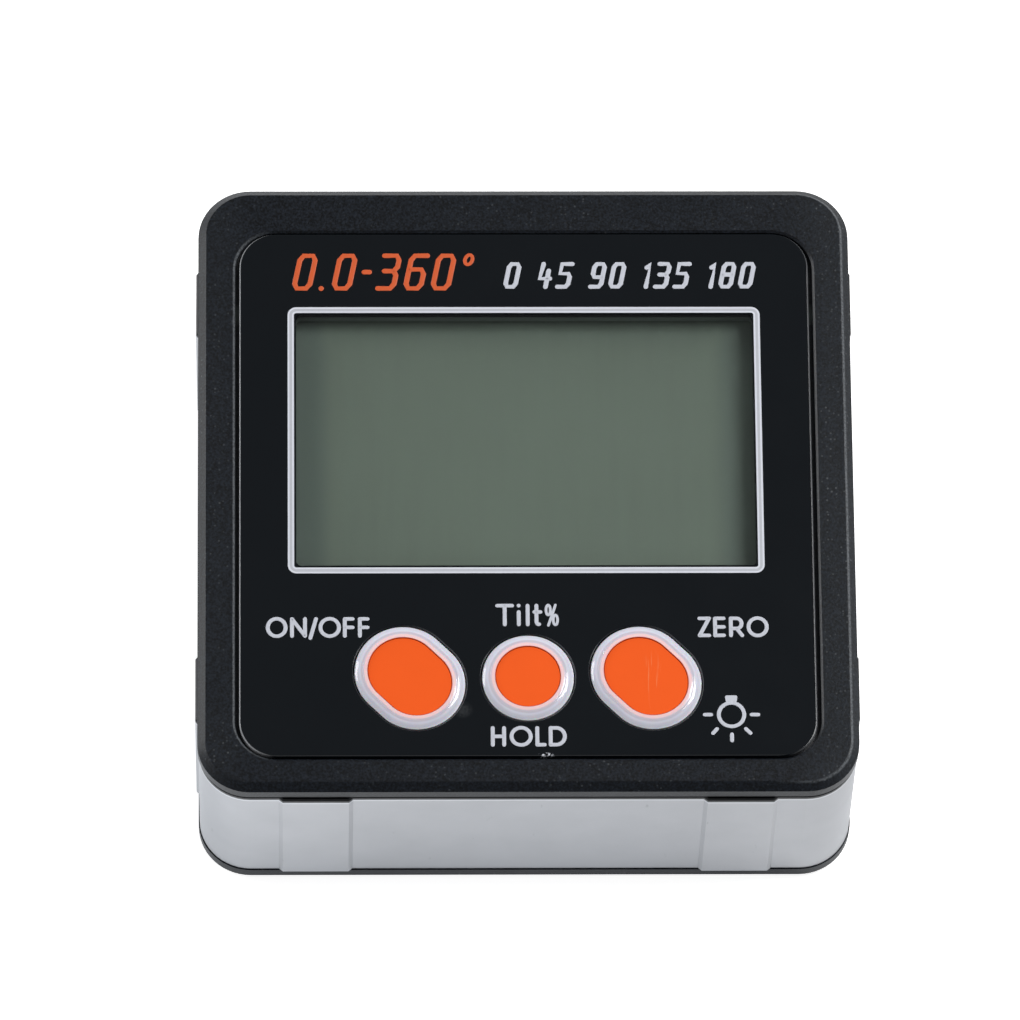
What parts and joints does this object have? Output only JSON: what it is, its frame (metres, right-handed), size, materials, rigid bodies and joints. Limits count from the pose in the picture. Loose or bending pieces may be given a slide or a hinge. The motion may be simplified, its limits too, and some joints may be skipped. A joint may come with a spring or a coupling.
{
  "type": "inclinometer",
  "caption": "Square pocket inclinometer: metal band with raised measuring pads, black covers, wide display, orange keys and a sliding battery door.",
  "frame": {"origin": "centre of the rear face, on which the object lies in the picture", "axes": "+Z out of the display face, -Y towards the measuring base, +X to the reader's right"},
  "size_m": [0.0604, 0.0604, 0.0219],
  "materials": {
    "black_abs": "fine spark-textured moulding",
    "aluminium": "satin anodised",
    "face_panel": "glossy",
    "clear_acrylic": "clear",
    "display_front": "satin film",
    "display_glass": "clear",
    "white_film": "matt",
    "contact_rubber": "silicone",
    "lamp_white": "moulded",
    "foam": "closed-cell foam",
    "board": "solder mask",
    "chip_black": "moulded epoxy",
    "ceramic_part": "fired",
    "plated_steel": "nickel plated",
    "cell_wrap": "printed sleeve, bare of words",
    "magnet_nickel": "nickel plated",
    "screw_steel": "zinc plated",
    "key_rim": "silvery lacquer",
    "key_orange": "satin",
    "switch_black": "moulded"
  },
  "bodies": {
    "case": {"front_cover": "black_abs", "rear_cover": "black_abs", "metal_band": "aluminium", "face_panel": "face_panel", "display_window": "clear_acrylic", "front_polariser": "display_front", "front_glass": "display_glass", "rear_glass": "display_glass", "rear_polariser": "display_front", "light_guide": "clear_acrylic", "reflector_film": "white_film", "contact_strip_lower": "contact_rubber", "contact_strip_upper": "contact_rubber", "display_frame": "black_abs", "backlight_lamp": "lamp_white", "display_gasket": "foam", "main_board": "board", "controller_chip": "chip_black", "tilt_sensor": "chip_black", "voltage_regulator": "chip_black", "crystal": "plated_steel", "battery_left": "cell_wrap", "battery_right": "cell_wrap", "plus_contact": "plated_steel", "minus_contact": "plated_steel", "bridge_contact": "plated_steel", "bridge_spring": "plated_steel", "minus_spring": "plated_steel", "magnet_left": "magnet_nickel", "magnet_right": "magnet_nickel", "cover_screws": "screw_steel", "board_screws": "screw_steel", "switch_base_on_off": "switch_black", "switch_plate_on_off": "plated_steel", "switch_base_hold": "switch_black", "switch_plate_hold": "plated_steel", "switch_base_zero": "switch_black", "switch_plate_zero": "plated_steel", "capacitor_1": "ceramic_part", "resistor_1": "ceramic_part", "capacitor_2": "ceramic_part", "resistor_2": "ceramic_part", "capacitor_3": "ceramic_part", "resistor_3": "ceramic_part", "capacitor_4": "ceramic_part", "resistor_4": "ceramic_part"},
    "key_on_off": {"key_on_off": "key_rim", "key_face_on_off": "key_orange", "switch_plunger_on_off": "switch_black"},
    "key_hold": {"key_hold": "key_rim", "key_face_hold": "key_orange", "switch_plunger_hold": "switch_black"},
    "key_zero": {"key_zero": "key_rim", "key_face_zero": "key_orange", "switch_plunger_zero": "switch_black"},
    "door": {"battery_door": "black_abs"}
  },
  "joints": [
    {"name": "on_off_press", "type": "slide", "parent": "case", "child": "key_on_off", "axis": [0, 0, -1], "range_m": [0, 0.00045], "stiffness_N_per_m": 3500, "springref_m": -0.0001},
    {"name": "hold_press", "type": "slide", "parent": "case", "child": "key_hold", "axis": [0, 0, -1], "range_m": [0, 0.00045], "stiffness_N_per_m": 3500, "springref_m": -0.0001},
    {"name": "zero_press", "type": "slide", "parent": "case", "child": "key_zero", "axis": [0, 0, -1], "range_m": [0, 0.00045], "stiffness_N_per_m": 3500, "springref_m": -0.0001},
    {"name": "door_slide", "type": "slide", "parent": "case", "child": "door", "axis": [0, 1, 0], "range_m": [0, 0.05]}
  ]
}
